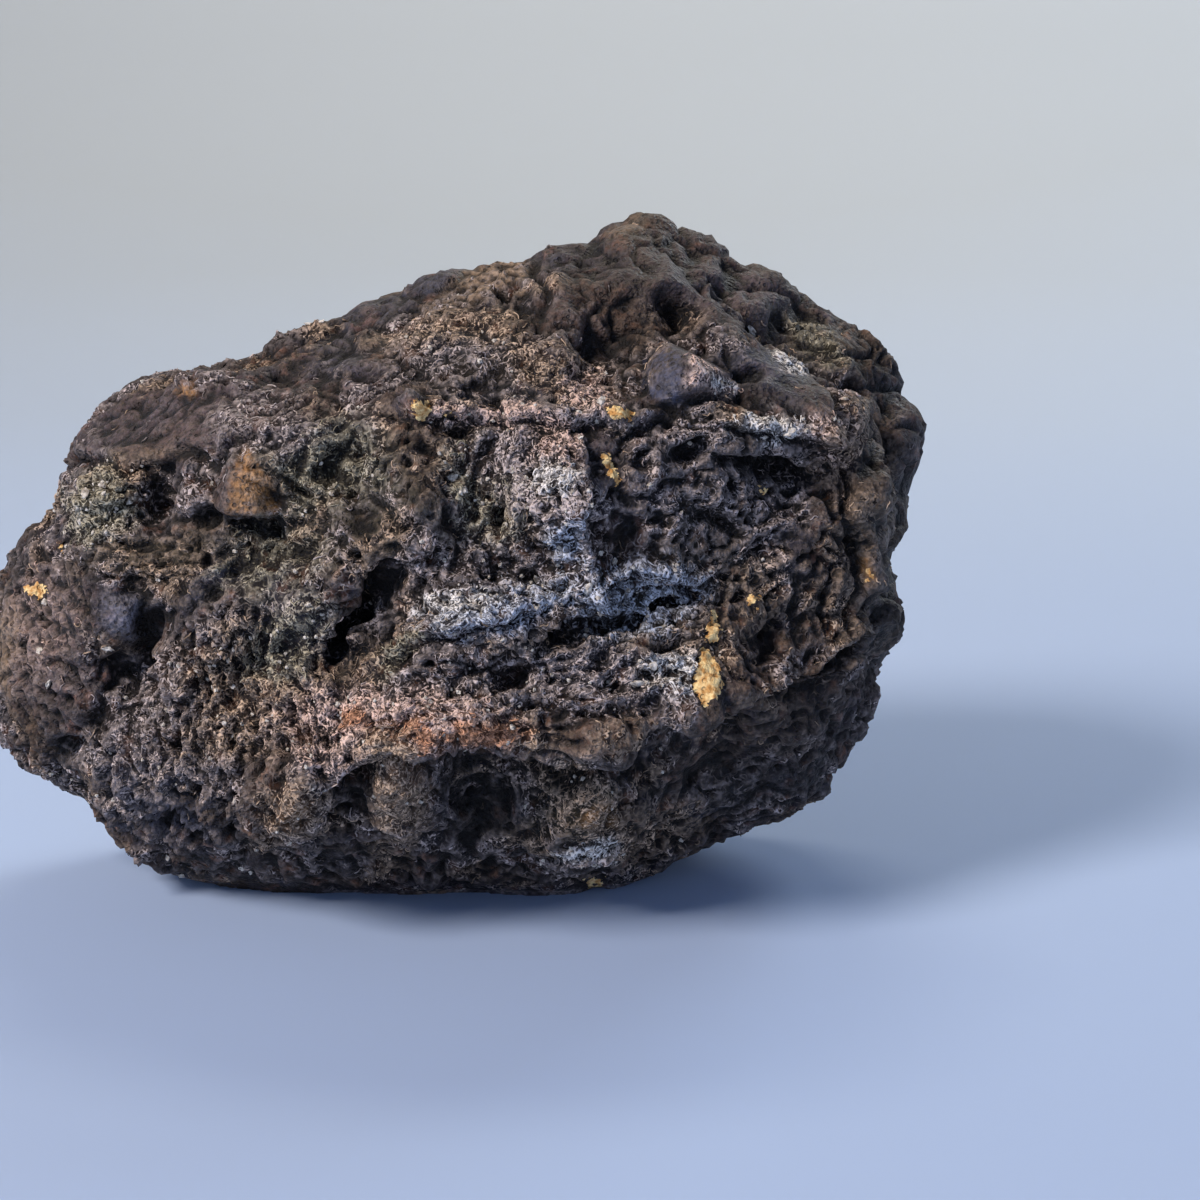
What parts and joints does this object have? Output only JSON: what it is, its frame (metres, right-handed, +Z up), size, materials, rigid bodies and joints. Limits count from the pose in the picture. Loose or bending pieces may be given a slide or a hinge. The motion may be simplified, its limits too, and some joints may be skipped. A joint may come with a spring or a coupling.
{
  "type": "geode",
  "caption": "Rough, unopened geode: a lumpy dark stone nodule with pits, ledges and folds all over, and a small worn flat below to rest on.",
  "frame": {"origin": "on the resting plane, under the middle of the stone's bounding box", "axes": "+X to the right along the stone's length as it is seen from the front, +Y to the back, +Z up"},
  "size_m": [0.1866, 0.1253, 0.1312],
  "materials": {
    "stone": "rough, matte to dull"
  },
  "bodies": {
    "root": {"geode": "stone"}
  },
  "joints": []
}
